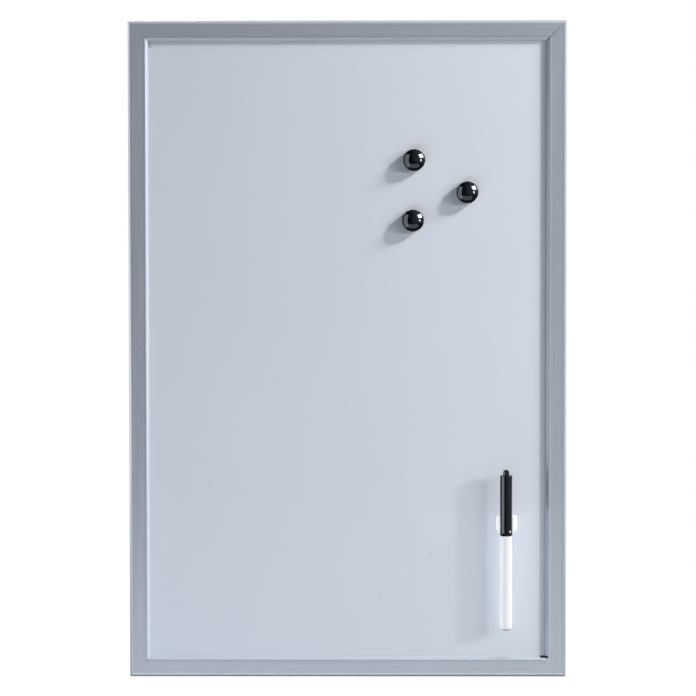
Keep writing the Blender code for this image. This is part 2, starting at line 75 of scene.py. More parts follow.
print(len(frame["nodes"]), "solids loaded")

# %% [markdown]
# ## Turning a bmesh into a piece
#
# Every piece below ends the same way: its mesh is smoothed except at real corners, its object stays at
# the origin, and it takes the place of its solid. A Weighted Normal modifier keeps wide flat faces flat
# in the light, while the small rounded edges beside them do all the turning.

# %% Finish a piece
SHARP_TURN = math.radians(38)
FLAT_TURN = math.radians(0.5)
MERGE = 0.000002


def add_piece(node, bm, slot, *materials):
    """Makes an object of a bmesh and lets it stand for one solid."""
    mesh = bpy.data.meshes.new(node + "_shown")
    bm.to_mesh(mesh)
    bm.free()
    mesh.shade_smooth()
    mesh.set_sharp_from_angle(angle=SHARP_TURN)
    for material in materials:
        mesh.materials.append(material)
    piece = bpy.data.objects.new(node + "_shown", mesh)
    bpy.context.scene.collection.objects.link(piece)
    flat = piece.modifiers.new("flat faces", "WEIGHTED_NORMAL")
    flat.keep_sharp = True
    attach(piece, body_of_node[node])
    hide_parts(node)
    return piece


def merged_copy(node):
    """A solid's triangles joined into whole faces, ready to be shaped."""
    bm = bmesh.new()
    bm.from_mesh(frame["nodes"][node].data)
    bmesh.ops.remove_doubles(bm, verts=bm.verts[:], dist=MERGE)
    bmesh.ops.dissolve_limit(bm, angle_limit=FLAT_TURN, verts=bm.verts[:], edges=bm.edges[:],
                             use_dissolve_boundaries=False)
    return bm


def soften(bm, edges, width, segments=2):
    """Rounds edges off."""
    bmesh.ops.bevel(bm, geom=edges, offset=width, offset_type="OFFSET", segments=segments, profile=0.5,
                    affect="EDGES", material=-1, clamp_overlap=True)


print("helpers for solids are ready")

# %% [markdown]
# ## Turned pieces
#
# Magnet caps, the marker, the pads and the nail heads are all round. A lathe needs only half an outline:
# one vertex is placed, lines run from point to point, and an arc is that last vertex spun about a centre.
# The outline is then spun once round the axis, and the corners that a mould would round are bevelled.

# %% A lathe for round pieces
AROUND = 112
ARC_STEP = math.radians(4)


def draw_outline(bm, moves):
    """A pair (radius, height) is a point. A triple (radius, height, degrees) turns about that centre."""
    last = None
    for move in moves:
        if len(move) == 2:
            vert = bm.verts.new((move[0], 0, move[1]))
            if last:
                bm.edges.new((last, vert))
            last = vert
            continue
        turn = math.radians(move[2])
        steps = max(4, round(abs(turn) / ARC_STEP))
        done = bmesh.ops.spin(bm, geom=[last], cent=(move[0], 0, move[1]), axis=(0, 1, 0), angle=turn,
                              steps=steps)
        last = [item for item in done["geom_last"] if isinstance(item, bmesh.types.BMVert)][0]


def ring(bm, radius, height):
    """The edges of one circle of a turned piece."""
    def on_ring(vert):
        return abs(vert.co.xy.length - radius) < MERGE and abs(vert.co.z - height) < MERGE
    return [edge for edge in bm.edges if all(on_ring(vert) for vert in edge.verts)]


def turned(moves, rounds=(), around=AROUND):
    """Spins an outline round Z. Each round is (radius, height, width of the bevel, segments)."""
    bm = bmesh.new()
    draw_outline(bm, moves)
    bmesh.ops.spin(bm, geom=bm.verts[:] + bm.edges[:], cent=(0, 0, 0), axis=(0, 0, 1), angle=math.tau,
                   steps=around, use_merge=True)
    bmesh.ops.remove_doubles(bm, verts=bm.verts[:], dist=MERGE)
    bmesh.ops.recalc_face_normals(bm, faces=bm.faces[:])
    for radius, height, width, segments in rounds:
        soften(bm, ring(bm, radius, height), width, segments)
    return bm


def stand(bm, place, turn=0.0):
    """Moves a turned piece to its place, its axis tipped about X first."""
    bm.transform(Matrix.Translation(place) @ Matrix.Rotation(turn, 4, "X"))
    return bm


TOWARDS_ROOM = math.pi / 2
TOWARDS_WALL = -math.pi / 2
print("lathe is ready:", AROUND, "steps round")

# %% [markdown]
# ## Writing finishes as sums
#
# A finish is a small formula: grain plus cloud, darker in the hollows. So one class wraps a socket and
# lets Python's own operators add the Math nodes, and one method adds every other kind of node.

# %% Shader arithmetic
class Flow:
    """A socket whose arithmetic adds Math nodes."""

    def __init__(self, finish, socket):
        self.finish = finish
        self.socket = socket

    def maths(self, operation, first, second=0.0):
        return self.finish.node("ShaderNodeMath", {"operation": operation}, {0: first, 1: second})

    def __add__(self, other):
        return self.maths("ADD", self, other)

    def __radd__(self, other):
        return self.maths("ADD", other, self)

    def __sub__(self, other):
        return self.maths("SUBTRACT", self, other)

    def __rsub__(self, other):
        return self.maths("SUBTRACT", other, self)

    def __mul__(self, other):
        return self.maths("MULTIPLY", self, other)

    def __rmul__(self, other):
        return self.maths("MULTIPLY", other, self)

    def __truediv__(self, other):
        return self.maths("DIVIDE", self, other)

    def __rtruediv__(self, other):
        return self.maths("DIVIDE", other, self)

    def __abs__(self):
        return self.maths("ABSOLUTE", self)

    def fraction(self):
        """The part after the decimal point, so that a pattern repeats."""
        return self.maths("FRACT", self)

    def larger(self, other):
        return self.maths("MAXIMUM", self, other)


class Finish:
    """A node tree and the one method that adds its nodes."""

    def __init__(self, tree):
        self.tree = tree
        self.tree.nodes.clear()

    def node(self, kind, settings, sockets, output=0):
        """Adds a node: settings first, then each socket's value or link. Gives back one output."""
        node = self.tree.nodes.new(kind)
        for name, value in settings.items():
            setattr(node, name, value)
        for name, value in sockets.items():
            if isinstance(value, Flow):
                self.tree.links.new(value.socket, node.inputs[name])
            elif isinstance(value, tuple) and node.inputs[name].type == "RGBA":
                node.inputs[name].default_value = (*value, 1)
            else:
                node.inputs[name].default_value = value
        return Flow(self, node.outputs[output]) if node.outputs else None

    def place(self, scale=(1, 1, 1), shift=(0, 0, 0), turn=(0, 0, 0)):
        """Object coordinates, stretched: a large scale makes a pattern fine along that axis."""
        where = self.node("ShaderNodeTexCoord", {}, {}, "Object")
        return self.node("ShaderNodeMapping", {"vector_type": "POINT"},
                         {"Vector": where, "Scale": scale, "Location": shift, "Rotation": turn})

    def distance(self, place, scale=(1, 0, 1)):
        """How far a point lies from a place, each axis scaled."""
        shift = tuple(-stretch * part for stretch, part in zip(scale, place))
        return self.node("ShaderNodeVectorMath", {"operation": "LENGTH"}, {0: self.place(scale, shift)},
                         "Value")

    def axis(self, name):
        """One object coordinate in metres."""
        where = self.node("ShaderNodeTexCoord", {}, {}, "Object")
        return self.node("ShaderNodeSeparateXYZ", {}, {0: where}, name)

    def noise(self, scale, detail=2.0, roughness=0.5, distortion=0.0, **placing):
        """Soft noise from about 0.3 to 0.7, with its grain set by the three scales."""
        return self.node("ShaderNodeTexNoise", {"noise_dimensions": "3D"},
                         {"Vector": self.place(scale, **placing), "Scale": 1.0, "Detail": detail,
                          "Roughness": roughness, "Distortion": distortion}, 0)

    def ramp(self, value, low, high, bottom=0.0, top=1.0):
        """Takes value from low..high to bottom..top, eased at both ends."""
        return self.node("ShaderNodeMapRange", {"interpolation_type": "SMOOTHSTEP"},
                         {"Value": value, "From Min": low, "From Max": high, "To Min": bottom,
                          "To Max": top})

    def near(self, value, place, gone, full):
        """1 where a value is close to a place, eased to 0 between two distances from it."""
        return self.ramp(abs(value - place), gone, full)

    def mix(self, factor, first, second):
        """One colour laid over another."""
        return self.node("ShaderNodeMix", {"data_type": "RGBA", "blend_type": "MIX"},
                         {0: factor, 6: first, 7: second}, 2)

    def bump(self, height, strength, distance):
        """A normal tilted by a height."""
        return self.node("ShaderNodeBump", {}, {"Height": height, "Strength": strength,
                                                "Distance": distance})


def plain_finish(name, paint):
    """Makes a material: paint(finish) gives the Principled shader's sockets."""
    material = bpy.data.materials.new(name)
    material.use_nodes = True
    finish = Finish(material.node_tree)
    shader = finish.node("ShaderNodeBsdfPrincipled", {}, paint(finish))
    finish.node("ShaderNodeOutputMaterial", {}, {"Surface": shader})
    return material


print("shader arithmetic is ready")

# %% [markdown]
# ## Silver foil
#
# The rails are wood fibre wrapped in a silver foil with a fine grain that runs along each rail. Its
# streaks are noise stretched along the rail's length, so rails and stiles need two turns of one finish.
# The foil is half metal: it keeps a cool grey of its own and still catches the lamps on its rounding.
# Some lines follow the frame at a fixed inset from its outer edge, and all of them are painted light and
# shade. A painted dark line of shade runs where the foil turns over the corner and is deepest on the right
# stile. A painted pale highlight runs along the outer rounding, most of all low on the left. Beside the
# bevel there is a painted highlight on the right stile and a painted dark line of shade on the other
# rails. The right stile's bevel is painted darker as shade. At the lower right corner a small dark patch
# is painted shade, and the sheet shares it.

# %% Foil finish
FOIL_DARK = (0.375, 0.42, 0.498)
FOIL_LIGHT = (0.52, 0.57, 0.662)
FOIL_EDGE_HIGHLIGHT = (0.80, 0.82, 0.86)
FOIL_METAL = 0.45
# Painted lines of light and shade round the frame: their inset, and the distances from it at which they
# are gone and full.
TURN_SHADE_LINE = (0.0033, 0.0008, 0.0003)
GLINT_AND_SHADE_LINE = (0.0150, 0.0012, 0.0005)
EDGE_HIGHLIGHT_LINE = {"X": (0.0026, 0.0011, 0.00055), "Z": (0.0017, 0.0015, 0.00075)}
BEVEL_INSET = (0.0158, 0.0162)
RIGHT_STILE_FROM = (0.18, 0.184)
BOTTOM_RAIL_FROM = (-0.28, -0.284)
LEFT_HIGHLIGHT_FROM = (0.27, -0.1)
# How strong the painted highlight line is: on the top and the bottom rail, and high and low on the left
# stile.
RAIL_HIGHLIGHT = (0.4, 0.7)
LEFT_HIGHLIGHT = (0.15, 0.9)
# Where the painted corner shade lies along one axis, and the distances at which it is gone and full.
CORNER_SHADE_ALONG_X = (0.1801, 0.0038, 0.0033)
CORNER_SHADE_ALONG_Z = (-0.2817, 0.0011, 0.0008)
CORNER_SHADE_DARK = (0.03, 0.032, 0.037)


def corner_shade(f):
    """A small dark patch at the lower right, painted shade that the sheet and the rail share."""
    return f.near(f.axis("X"), *CORNER_SHADE_ALONG_X) * f.near(f.axis("Z"), *CORNER_SHADE_ALONG_Z)


def silver_foil(along):
    """Foil whose grain runs along one axis."""
    across, half_width = ("Z", half_size.z) if along == "X" else ("X", half_size.x)

    def stretched(fine, long):
        return tuple(long if axis == along else fine for axis in "XYZ")

    def paint(f):
        streak = f.noise(stretched(1500, 24), detail=3, roughness=0.65)
        band = f.noise(stretched(330, 7), detail=2)
        fleck = f.ramp(f.noise(stretched(760, 420), detail=1), 0.68, 0.76)
        scuff = f.ramp(f.noise(stretched(640, 340), detail=1, shift=(5, 9, 3)), 0.31, 0.25)
        grain = (streak - 0.5) * 0.9 + (band - 0.5) * 0.6 + fleck * 0.45 - scuff * 0.5
        inset = half_width - abs(f.axis(across))
        right = f.ramp(f.axis("X"), *RIGHT_STILE_FROM)
        if along == "X":
            turn_shade_depth = 0.1
            edge_highlight = f.ramp(f.axis("Z"), *BOTTOM_RAIL_FROM, *RAIL_HIGHLIGHT)
        else:
            turn_shade_depth = 0.25 + right * 0.5
            edge_highlight = f.ramp(f.axis("Z"), *LEFT_HIGHLIGHT_FROM, *LEFT_HIGHLIGHT) * (1 - right)
        # Painted shade: a dark line where the foil turns over the corner, deepest on the right stile.
        turn_shade = f.near(inset, *TURN_SHADE_LINE) * turn_shade_depth
        # Painted light and shade beside the bevel: a highlight on the right stile and a dark line on the
        # other rails.
        bevel_side_glint_and_shade = f.near(inset, *GLINT_AND_SHADE_LINE) * (right * 0.8 - 0.35)
        # Painted shade: the right stile's bevel, which faces away from the lamps, is darkened.
        bevel = f.ramp(inset, *BEVEL_INSET) * right * 0.5
        foil = f.mix(grain - turn_shade + bevel_side_glint_and_shade - bevel + 0.5, FOIL_DARK, FOIL_LIGHT)
        # Painted highlight: a pale line along the outer rounding, strongest on the bottom rail and low on
        # the left stile.
        foil = f.mix(f.near(inset, *EDGE_HIGHLIGHT_LINE[along]) * edge_highlight, foil, FOIL_EDGE_HIGHLIGHT)
        # Painted shade: the dark patch in the lower right corner.
        gap_and_corner_shade = corner_shade(f)
        return {
            "Base Color": f.mix(gap_and_corner_shade, foil, CORNER_SHADE_DARK),
            "Metallic": (1 - gap_and_corner_shade) * FOIL_METAL,
            "Roughness": 0.31 + (band - 0.5) * 0.12 + scuff * 0.08 + gap_and_corner_shade * 0.5,
            "Normal": f.bump(streak, 0.12, 0.00005),
        }

    return plain_finish("silver_foil_" + along.lower(), paint)


foil_along = {"X": silver_foil("X"), "Z": silver_foil("Z")}
print("foil:", [material.name for material in foil_along.values()])

# %% [markdown]
# ## Boards
#
# Behind the foil the rail is medium-density fibreboard, a warm felted brown. The back is closed with
# hardboard, whose rear face keeps the print of the wire mesh that it was pressed on, and the sheet is
# bonded to a softer, paler core that is seen only if the board is opened. The mitres' cut faces are
# stained dark, so that a mitre which has opened shows as a dark line.

# %% Board finishes
MESH_PITCH = 0.0016
HARDBOARD_DARK = (0.14, 0.078, 0.042)
HARDBOARD_LIGHT = (0.36, 0.225, 0.13)


def fibreboard(name, dark, light, matt):
    """Pressed fibre: a fine fleck over slow clouds."""
    def paint(f):
        fibre = f.noise((900, 900, 900), detail=4, roughness=0.7)
        felt = f.noise((60, 60, 60), detail=3)
        return {
            "Base Color": f.mix((fibre - 0.5) * 1.4 + (felt - 0.5) * 0.8 + 0.5, dark, light),
            "Roughness": matt - (fibre - 0.5) * 0.2,
            "Normal": f.bump(fibre, 0.35, 0.0002),
        }

    return plain_finish(name, paint)


def paint_hardboard(f):
    fibre = f.noise((520, 520, 520), detail=5, roughness=0.7)
    chip = f.ramp(f.noise((170, 170, 260), detail=2, distortion=0.6), 0.6, 0.72)
    across = abs((f.axis("X") / MESH_PITCH).fraction() - 0.5)
    down = abs((f.axis("Z") / MESH_PITCH).fraction() - 0.5)
    weave = across.larger(down) * 2
    tone = (fibre - 0.5) * 1.2 + chip * 0.35 + weave * 0.22 + 0.3
    return {
        "Base Color": f.mix(tone, HARDBOARD_DARK, HARDBOARD_LIGHT),
        "Roughness": 0.8 - chip * 0.12,
        "Normal": f.bump(weave + fibre * 0.6, 0.5, 0.00018),
    }


raw_fibreboard = fibreboard("raw_fibreboard", (0.27, 0.19, 0.12), (0.46, 0.35, 0.24), 0.9)
stained_end = fibreboard("stained_end", (0.018, 0.018, 0.02), (0.04, 0.04, 0.045), 0.95)
core_board = fibreboard("core_board", (0.45, 0.38, 0.29), (0.64, 0.56, 0.45), 0.92)
hardboard = plain_finish("hardboard", paint_hardboard)
print("boards:", raw_fibreboard.name, stained_end.name, core_board.name, hardboard.name)

# %% [markdown]
# ## White lacquer
#
# The writing sheet is steel with a baked, cool white lacquer. Its gloss is not a mirror: the lacquer has a
# slow orange peel and faint clouds where it has been wiped. One patch beside the marker is a trace paler,
# a painted pool of light with a soft edge broken by noise. Two faint specks are dirt that wiping leaves
# behind, and a dark smudge in the upper left corner is painted shade.

# %% Lacquer finish
LACQUER_DARK = (0.575, 0.628, 0.71)
LACQUER_LIGHT = (0.625, 0.681, 0.77)
# A painted pool of light beside the marker: its middle and its stretch.
MARKER_GLOW_PLACE = (0.084, 0, -0.161)
MARKER_GLOW_STRETCH = (34, 0, 52)
# Painted shade: the dark smudge in the upper left corner spans these.
CORNER_SHADOW_X = (-0.1780, -0.1791)
CORNER_SHADOW_Z = (0.2749, 0.2760)
SPECKS = ((0.0764, 0, -0.1863), (0.0289, 0, -0.2284))
SPECK_SIZE = 0.0013
SPECK_AND_SHADOW_DARK = (0.12, 0.13, 0.15)


def paint_lacquer(f):
    cloud = f.noise((9, 9, 9), detail=2)
    wipe = f.noise((60, 1, 20), detail=3, turn=(0, 0.5, 0))
    peel = f.noise((420, 420, 420), detail=1)
    mottle = f.noise((160, 160, 160), detail=2)
    # Painted light: a paler patch beside the marker, its edge broken by noise.
    marker_glow = f.ramp(f.distance(MARKER_GLOW_PLACE, MARKER_GLOW_STRETCH) + (wipe - 0.5) * 0.8, 1.0, 0.55)
    tone = (cloud - 0.5) * 0.5 + (wipe - 0.5) * 0.22 + (mottle - 0.5) * 0.12 + marker_glow * 0.22 + 0.5
    lacquer = f.mix(tone, LACQUER_DARK, LACQUER_LIGHT)
    # Painted shade in the upper left corner, plus two specks of real dirt.
    specks_and_corner_shadow = f.ramp(f.axis("X"), *CORNER_SHADOW_X) * f.ramp(f.axis("Z"), *CORNER_SHADOW_Z)
    for speck in SPECKS:
        specks_and_corner_shadow = specks_and_corner_shadow + f.ramp(f.distance(speck), SPECK_SIZE, SPECK_SIZE / 2) * 0.6
    return {
        # The painted shade of the lower right corner is laid over the sheet as well.
        "Base Color": f.mix(corner_shade(f), f.mix(specks_and_corner_shadow * 0.4, lacquer, SPECK_AND_SHADOW_DARK), CORNER_SHADE_DARK),
        "Roughness": 0.24 + (wipe - 0.5) * 0.12,
        "Normal": f.bump(peel, 0.05, 0.00005),
    }


white_lacquer = plain_finish("white_lacquer", paint_lacquer)
print("sheet:", white_lacquer.name)

# %% [markdown]
# ## Plastics
#
# Four plastics are moulded: a polished black for the magnets, a satin black for the marker's cap and
# section, white for the barrel and the clip, and a pale grey for the end plug, which on the cap's pip is a
# painted highlight. A polished mould leaves almost no texture and a spark eroded one a fine grain, so they
# differ in roughness and bump as much as in colour.

# %% Plastic finishes
def moulded(name, colour, rough, grain, grain_depth, tint=0.0):
    """A moulded plastic: a colour that hardly varies, and a grain of its own fineness."""
    deeper = tuple(part * 0.94 for part in colour)
    paler = tuple(part + (1 - part) * tint for part in colour)

    def paint(f):
        skin = f.noise((grain, grain, grain), detail=2, roughness=0.6)
        flow = f.noise((70, 70, 40), detail=2)
        return {
            "Base Color": f.mix((flow - 0.5) * 1.5 + 0.5, deeper, paler),
            "Roughness": rough + (skin - 0.5) * rough * 0.5,
            "Normal": f.bump(skin, grain_depth, 0.00004),
        }

    return plain_finish(name, paint)


gloss_black = moulded("gloss_black", (0.004, 0.0055, 0.008), 0.04, 500, 0.02)
satin_black = moulded("satin_black", (0.0045, 0.006, 0.008), 0.16, 1800, 0.16)
white_plastic = moulded("white_plastic", (0.83, 0.86, 0.88), 0.3, 900, 0.06, 0.02)
plug_grey = moulded("plug_grey", (0.50, 0.515, 0.535), 0.38, 1500, 0.15)
print("plastics:", gloss_black.name, satin_black.name, white_plastic.name, plug_grey.name)

# %% [markdown]
# ## Metal, magnets and fibres
#
# The hangers, nails and points are zinc-plated, so the metal shows large soft crystals under a dull
# sheen. Ferrite is a pressed grey powder and the clip's magnet a flexible strip; the pads are closed-cell
# foam, the nib is felt soaked in black ink, and the reservoir a bundle of white fibres.

# %% Metal, magnet and fibre finishes
ZINC_DARK = (0.46, 0.47, 0.48)
ZINC_LIGHT = (0.72, 0.725, 0.72)
FIBRE_DARK = (0.55, 0.55, 0.53)
FIBRE_LIGHT = (0.78, 0.78, 0.76)


def paint_zinc(f):
    crystal = f.node("ShaderNodeTexVoronoi", {"feature": "F1"},
                     {"Vector": f.place((420, 420, 420)), "Scale": 1.0, "Randomness": 1.0}, "Color")
    facet = f.node("ShaderNodeSeparateColor", {}, {0: crystal})
    drawn = f.noise((300, 300, 2200), detail=2)
    tone = facet * 0.6 + (drawn - 0.5) * 0.5 + 0.2
    return {
        "Base Color": f.mix(tone, ZINC_DARK, ZINC_LIGHT),
        "Metallic": 1.0,
        "Roughness": 0.3 + facet * 0.14,
        "Normal": f.bump(drawn, 0.15, 0.00005),
    }


def powdery(name, dark, light, rough, grain, depth, metal=0.0):
    """A matt body whose grain shows in colour and in bump alike."""
    def paint(f):
        speck = f.noise((grain, grain, grain), detail=3, roughness=0.7)
        return {
            "Base Color": f.mix((speck - 0.5) * 2 + 0.5, dark, light),
            "Metallic": metal,
            "Roughness": rough + (speck - 0.5) * 0.15,
            "Normal": f.bump(speck, depth, 0.0002),
        }

    return plain_finish(name, paint)


def paint_reservoir(f):
    strand = f.noise((2600, 2600, 60), detail=2)
    return {
        "Base Color": f.mix((strand - 0.5) * 2 + 0.5, FIBRE_DARK, FIBRE_LIGHT),
        "Roughness": 0.92 + (strand - 0.5) * 0.1,
        "Normal": f.bump(strand, 0.4, 0.0001),
    }


zinc_steel = plain_finish("zinc_steel", paint_zinc)
ferrite = powdery("ferrite", (0.035, 0.036, 0.04), (0.075, 0.076, 0.08), 0.55, 1200, 0.25, 0.3)
flexible_magnet = powdery("flexible_magnet", (0.04, 0.032, 0.028), (0.075, 0.062, 0.055), 0.82, 900, 0.3)
pad_foam = powdery("pad_foam", (0.035, 0.035, 0.037), (0.09, 0.09, 0.092), 0.95, 1600, 0.6)
felt = powdery("felt", (0.012, 0.012, 0.016), (0.035, 0.035, 0.04), 0.95, 2400, 0.7)
reservoir_fibre = plain_finish("reservoir_fibre", paint_reservoir)
print("metal and fibres:", zinc_steel.name, ferrite.name, felt.name)

# %% [markdown]
# ## Rails
#
# Each rail starts as a copy of its solid, triangles merged into whole faces. Two things are then shaped:
# the mitred ends close to a hairline, as glued mitres do, and the long moulded corners lose their
# knife edge. The top right mitre has opened towards its inner end, where the photograph shows a dark
# line. The foil wraps a few millimetres onto the rear, which a plane cut through the rear faces marks.

# %% Shape the rails
LONG_EDGE_ROUND = 0.00022
FOIL_ON_REAR = 0.0032
REAR_STRIP = 0.0005
OUTER_CORNER = 0.0032
MITRE_SEAM = 0.00007
OPEN_MITRE = 0.0006
CORNER_TURN = math.radians(20)
STRAIGHT = 0.9
MITRED = 0.5
SLANTED = 0.05
RAILS = {
    "top_rail": (Vector((0, 0, 1)), "X"),
    "bottom_rail": (Vector((0, 0, -1)), "X"),
    "left_stile": (Vector((-1, 0, 0)), "Z"),
    "right_stile": (Vector((1, 0, 0)), "Z"),
}
low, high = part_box("steel_sheet")
sheet_front = low.y
low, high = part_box("top_rail")
rail_rear = high.y
sight_width = high.z - low.z


def rail_frame(outward, along):
    """How far out the rail's outer edge lies, the direction it runs in, and half its length."""
    across = abs(outward.dot(half_size))
    run = Vector((1, 0, 0)) if along == "X" else Vector((0, 0, 1))
    half_length = run.dot(half_size)
    return across, run, half_length


def close_mitres(bm, outward, along):
    """Moves both mitred ends outwards, to leave half a seam each."""
    across, run, half_length = rail_frame(outward, along)
    ends = {vert: half_length - abs(vert.co.dot(run)) - (across - vert.co.dot(outward))
            for vert in bm.verts}
    gap_and_corner_shade = min(ends.values())
    for vert, end in ends.items():
        if end - gap_and_corner_shade > MERGE * 5:
            continue
        inset = across - vert.co.dot(outward)
        opened = OPEN_MITRE * (inset / sight_width) ** 2 if vert.co.x > 0 and vert.co.z > 0 else 0
        seam = (MITRE_SEAM + opened) / 2 * math.sqrt(2)
        vert.co += run * (gap_and_corner_shade - seam) * math.copysign(1, vert.co.dot(run))


def long_corners(bm, outward, along):
    """The moulded corners that run the whole rail, without the slots cut in its rebate."""
    across, run, half_length = rail_frame(outward, along)
    found = []
    for edge in bm.edges:
        first, second = (vert.co for vert in edge.verts)
        if abs(first.dot(outward) - second.dot(outward)) > MERGE or abs(first.y - second.y) > MERGE:
            continue
        if edge.calc_length() > half_length and edge.calc_face_angle_signed(0) > CORNER_TURN:
            found.append(edge)
    return found


def mark_raw_faces(bm, outward, along):
    """Foil is material 0, raw board inside and behind is 1, the stained faces of the mitres are 2."""
    across, run, half_length = rail_frame(outward, along)
    rear = [face for face in bm.faces
            if face.normal.y > STRAIGHT and abs(face.calc_center_median().y - rail_rear) < MERGE]
    geometry = rear + list({part for face in rear for part in [*face.verts, *face.edges]})
    bmesh.ops.bisect_plane(bm, geom=geometry, dist=MERGE, plane_co=outward * (across - FOIL_ON_REAR),
                           plane_no=outward, clear_inner=False, clear_outer=False)
    for face in bm.faces:
        centre = face.calc_center_median()
        inset = across - centre.dot(outward)
        side = face.normal.dot(outward) > SLANTED and inset < OUTER_CORNER
        front = face.normal.y < -SLANTED and centre.y < sheet_front
        sight = abs(inset - sight_width) < MERGE * 100
        strip = inset < FOIL_ON_REAR and centre.y > rail_rear - REAR_STRIP
        face.material_index = 0 if side or front or sight or strip else 1
        if abs(face.normal.dot(run)) > MITRED and abs(face.normal.dot(outward)) > MITRED:
            face.material_index = 2


for node, (outward, along) in RAILS.items():
    bm = merged_copy(node)
    close_mitres(bm, outward, along)
    corners = long_corners(bm, outward, along)
    soften(bm, corners, LONG_EDGE_ROUND)
    mark_raw_faces(bm, outward, along)
    rail = add_piece(node, bm, "silver_foil", foil_along[along], raw_fibreboard, stained_end)
    print(node, len(corners), "corners rounded,", len(rail.data.polygons), "faces")

# %% [markdown]
# ## Sheet, core and back
#
# These three are plain rectangles held in the rebate. Their shape is already right, so the solids stay
# and take their finishes through their own material slots. So do three that are small or mostly hidden:
# the marker's reservoir, the points that hold the back and the nails across the mitres.

# %% Finish the solids that stay
KEPT = {
    "steel_sheet": (white_lacquer, "white_lacquer"),
    "core_panel": (core_board, "core_board"),
    "back_panel": (hardboard, "hardboard"),
    "pen_reservoir": (reservoir_fibre, "reservoir_fibre"),
}
for number in range(1, 13):
    KEPT[f"panel_point_{number}"] = (zinc_steel, "zinc_steel")
for number in range(1, 5):
    KEPT[f"corner_nail_{number}"] = (zinc_steel, "zinc_steel")
for node, (material, slot) in KEPT.items():
    solid = frame["nodes"][node]
    solid.material_slots[0].material = material
print(len(KEPT), "solids keep their shape")

# %% [markdown]
# ## Button magnets
#
# Each magnet is a polished cap over a ferrite disc. The dome is part of a sphere, so the outline's arc is
# one vertex spun about the sphere's centre. The rim where dome meets side is rounded, which draws the
# thin light line round each cap, and the foot all but touches the sheet.

# %% Turn the magnets
TOUCH = 0.00002
DOME_HEIGHT = 0.0045
DOME_WALL = 0.0013
DISC_RECESS = 0.0045
RIM_ROUND = 0.0005
FOOT_ROUND = 0.0004
HOLLOW_ROUND = 0.00015
DISC_ROUND = 0.0004

for number in (1, 2, 3):
    low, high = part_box(f"magnet_{number}_cap")
    centre = (low + high) / 2
    radius = (high.x - low.x) / 2
    height = high.y - low.y
    foot = TOUCH - (sheet_front - high.y)
    sphere = (radius ** 2 + DOME_HEIGHT ** 2) / (2 * DOME_HEIGHT)
    reach = math.degrees(math.asin(radius / sphere))
    rim = height - DOME_HEIGHT
    bm = turned(
        [(0, height), (0, height - sphere, reach), (radius, foot), (radius - DOME_WALL, foot),
         (radius - DOME_WALL, DISC_RECESS), (0, DISC_RECESS)],
        [(radius, rim, RIM_ROUND, 4), (radius, foot, FOOT_ROUND, 3),
         (radius - DOME_WALL, foot, HOLLOW_ROUND, 2)],
    )
    stand(bm, (centre.x, high.y, centre.z), TOWARDS_ROOM)
    add_piece(f"magnet_{number}_cap", bm, "gloss_black", gloss_black)
    low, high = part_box(f"magnet_{number}_disc")
    radius = (high.x - low.x) / 2
    height = high.y - low.y
    bm = turned([(0, height), (radius, height), (radius, 0), (0, 0)],
                [(radius, height, DISC_ROUND, 3), (radius, 0, DISC_ROUND, 3)])
    stand(bm, (centre.x, high.y, centre.z), TOWARDS_ROOM)
    add_piece(f"magnet_{number}_disc", bm, "ferrite", ferrite)
    print("magnet", number, "at", [round(part, 4) for part in centre])

# %% [markdown]
# ## The clip and its magnet
#
# The clip is one moulding: a flat base, a short neck and two fingers round the cap. Its solid already
# follows the fingers, so a merged copy needs two things: the fingers' inner faces close on the cap they
# grip, and the rims are rounded, which are the edges of its two ends, facing up and down. The flat
# magnet behind it is drawn out until it all but touches the sheet.

# %% Shape the clip
CLIP_ROUND = 0.00028
STRIP_ROUND = 0.0002
CAP_RADIUS = 0.00555
GRIP_REACH = 0.0003
GRIP_GAP = 0.00001


def rims(bm, axis):
    """Edges between a face that looks along the axis and one that does not."""
    return [edge for edge in bm.edges
            if sorted(abs(face.normal.dot(axis)) > STRAIGHT for face in edge.link_faces) == [False, True]]


bm = merged_copy("pen_clip")
axis_at = Vector((sum(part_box("pen_cap"), Vector()) / 2).xy)
for vert in bm.verts:
    out = vert.co.xy - axis_at
    if abs(out.length - CAP_RADIUS) < GRIP_REACH:
        vert.co.xy = axis_at + out.normalized() * (CAP_RADIUS + GRIP_GAP)
soften(bm, rims(bm, Vector((0, 0, 1))), CLIP_ROUND, 3)
clip = add_piece("pen_clip", bm, "white_plastic", white_plastic)
print("clip:", len(clip.data.polygons), "faces")

bm = merged_copy("clip_magnet")
rear = max(vert.co.y for vert in bm.verts)
bmesh.ops.translate(bm, verts=[vert for vert in bm.verts if vert.co.y > rear - MERGE],
                    vec=(0, sheet_front - TOUCH - rear, 0))
soften(bm, bm.edges[:], STRIP_ROUND)
add_piece("clip_magnet", bm, "flexible_magnet", flexible_magnet)

# %% [markdown]
# ## The marker's cap
#
# The cap is a lathe shape: a domed stub at the top, a rounded shoulder, a long wall, and a bead round its
# mouth. Two small marks near the mouth are not turned. A sphere cut out with a Boolean leaves a dark
# dimple, and below it a pip, a flattened ball, sits on the bead. The pip is a real bump, and its pale grey
# is a painted highlight.

